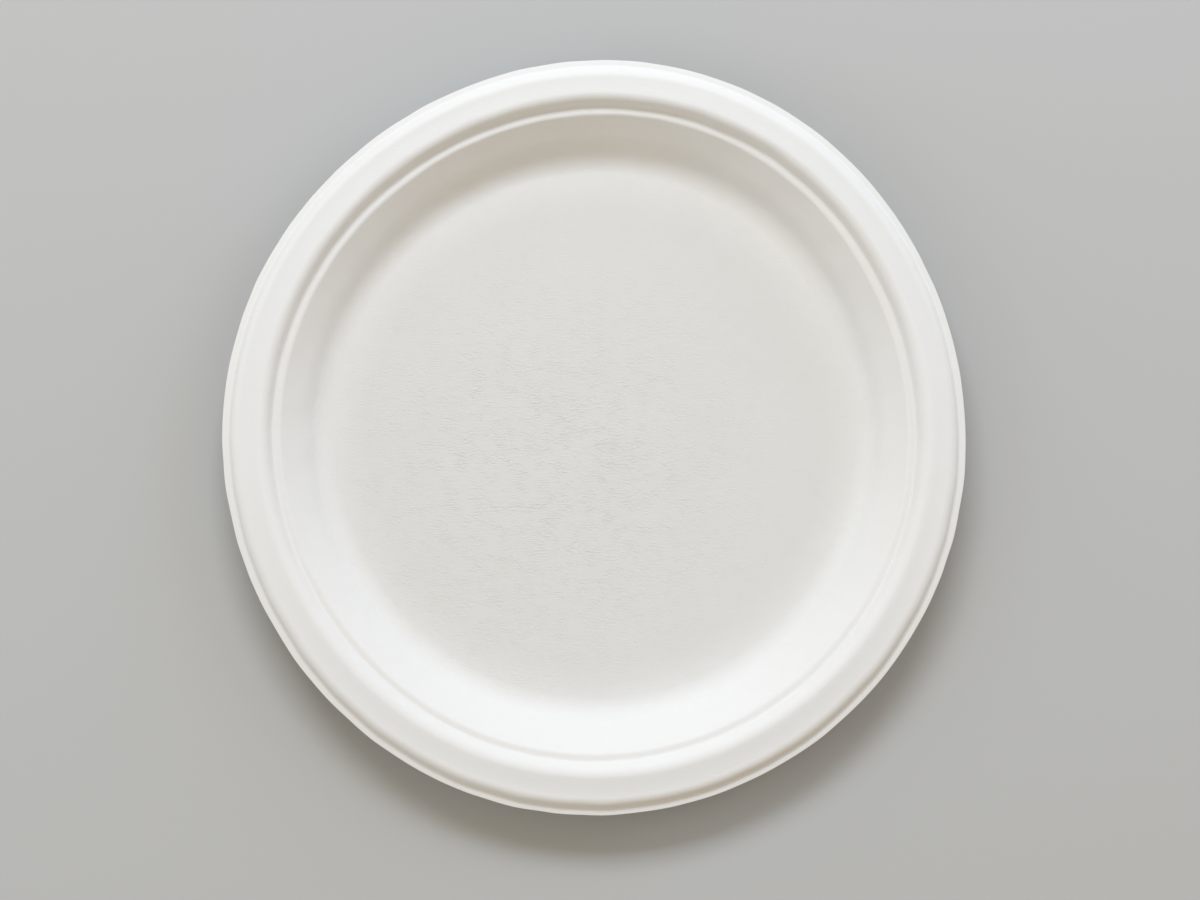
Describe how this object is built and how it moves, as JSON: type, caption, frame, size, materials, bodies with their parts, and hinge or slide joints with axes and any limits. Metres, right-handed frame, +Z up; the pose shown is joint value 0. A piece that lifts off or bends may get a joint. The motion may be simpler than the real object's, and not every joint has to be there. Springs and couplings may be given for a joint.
{
  "type": "paper plate",
  "caption": "Round disposable dinner plate pressed from one sheet of plant fibre, with a flat base, a sloping side, a stacking ledge and a rim that rolls over to a flat trimmed edge.",
  "frame": {"origin": "centre of the flat base, on the surface that the plate stands on", "axes": "+Z up along the plate's axis of revolution; +X and +Y are any two square directions in the plane of the rim"},
  "size_m": [0.23, 0.23, 0.019],
  "materials": {
    "pulp": "matt, bare plant fibre with a faint weave of fine fibres"
  },
  "bodies": {
    "root": {"plate": "pulp"}
  },
  "joints": []
}
